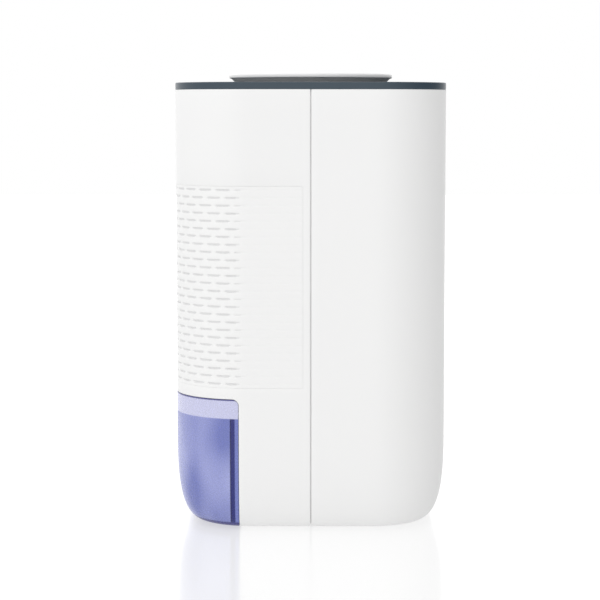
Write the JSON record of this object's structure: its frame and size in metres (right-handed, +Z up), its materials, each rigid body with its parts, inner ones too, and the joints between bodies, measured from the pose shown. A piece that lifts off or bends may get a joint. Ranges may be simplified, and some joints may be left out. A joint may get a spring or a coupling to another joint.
{
  "type": "dehumidifier",
  "caption": "Compact thermoelectric dehumidifier: two-piece shell with a woven relief, round cap with a power button, fan, heat sinks and a translucent pull-out water tank.",
  "frame": {"origin": "centre of the footprint, on the table under the feet", "axes": "+Z up, the front faces -Y, +X is across the width"},
  "size_m": [0.1484, 0.1484, 0.248],
  "materials": {
    "white_shell": "fine satin moulded plastic",
    "slate_trim": "satin slate-grey plastic",
    "neck_grey": "satin grey plastic",
    "cap_white": "satin moulded plastic",
    "button_white": "satin moulded plastic",
    "light_diffuser": "frosted light guide",
    "tank_tint": "translucent blue-violet moulded plastic",
    "lid_plastic": "pale translucent plastic",
    "plug_rubber": "soft silicone",
    "foot_rubber": "matt rubber",
    "chassis_plastic": "matt moulded plastic",
    "tray_plastic": "matt moulded plastic",
    "circuit_board": "solder-masked laminate",
    "component_black": "moulded black plastic",
    "fan_black": "moulded black plastic",
    "copper_winding": "enamelled winding over a steel stack",
    "bearing_bronze": "sintered bronze",
    "steel": "zinc-plated",
    "magnet": "pressed ferrite",
    "heat_sink": "extruded, plain",
    "module_ceramic": "white alumina plates",
    "gasket_foam": "closed-cell foam",
    "sensor_case": "moulded plastic",
    "float_foam": "closed-cell foam"
  },
  "bodies": {
    "casing": {"front_shell": "white_shell", "rear_shell": "white_shell", "trim_ring": "slate_trim", "outlet_grille": "slate_trim", "cap_skirt": "neck_grey", "cap_top": "cap_white", "light_ring": "light_diffuser", "display_board": "circuit_board", "tact_switch": "component_black", "fan_frame": "fan_black", "fan_bearing": "bearing_bronze", "fan_stator": "copper_winding", "fan_screws": "steel", "hot_sink": "heat_sink", "thermoelectric_module": "module_ceramic", "insulation_gasket": "gasket_foam", "cold_sink": "heat_sink", "clamp_screws": "steel", "drip_tray": "tray_plastic", "chassis": "chassis_plastic", "chassis_screws": "steel", "control_board": "circuit_board", "board_components": "component_black", "board_screws": "steel", "dc_jack": "component_black", "level_sensor": "sensor_case", "rubber_feet": "foot_rubber", "housing_screws": "steel"},
    "tank": {"tank_vessel": "tank_tint", "tank_lid": "lid_plastic", "tank_plug": "plug_rubber", "float_pin": "steel"},
    "float": {"float_arm": "float_foam", "float_magnet": "magnet"},
    "fan": {"fan_rotor": "fan_black", "rotor_magnet": "magnet", "fan_shaft": "steel"},
    "button": {"power_button": "button_white", "switch_plunger": "component_black"}
  },
  "joints": [
    {"name": "tank_slide", "type": "slide", "parent": "casing", "child": "tank", "axis": [0, -1, 0], "range_m": [0, 0.07]},
    {"name": "float_pivot", "type": "hinge", "parent": "tank", "child": "float", "pos_m": [-0.04175, 0.013, 0.0538], "axis": [-1, 0, 0], "range_deg": [0, 18]},
    {"name": "fan_spin", "type": "hinge", "parent": "casing", "child": "fan", "pos_m": [0, 0, 0.2], "axis": [0, 0, 1], "continuous": true},
    {"name": "button_press", "type": "slide", "parent": "casing", "child": "button", "axis": [0, 0, -1], "range_m": [0, 0.0007], "stiffness_N_per_m": 800}
  ]
}
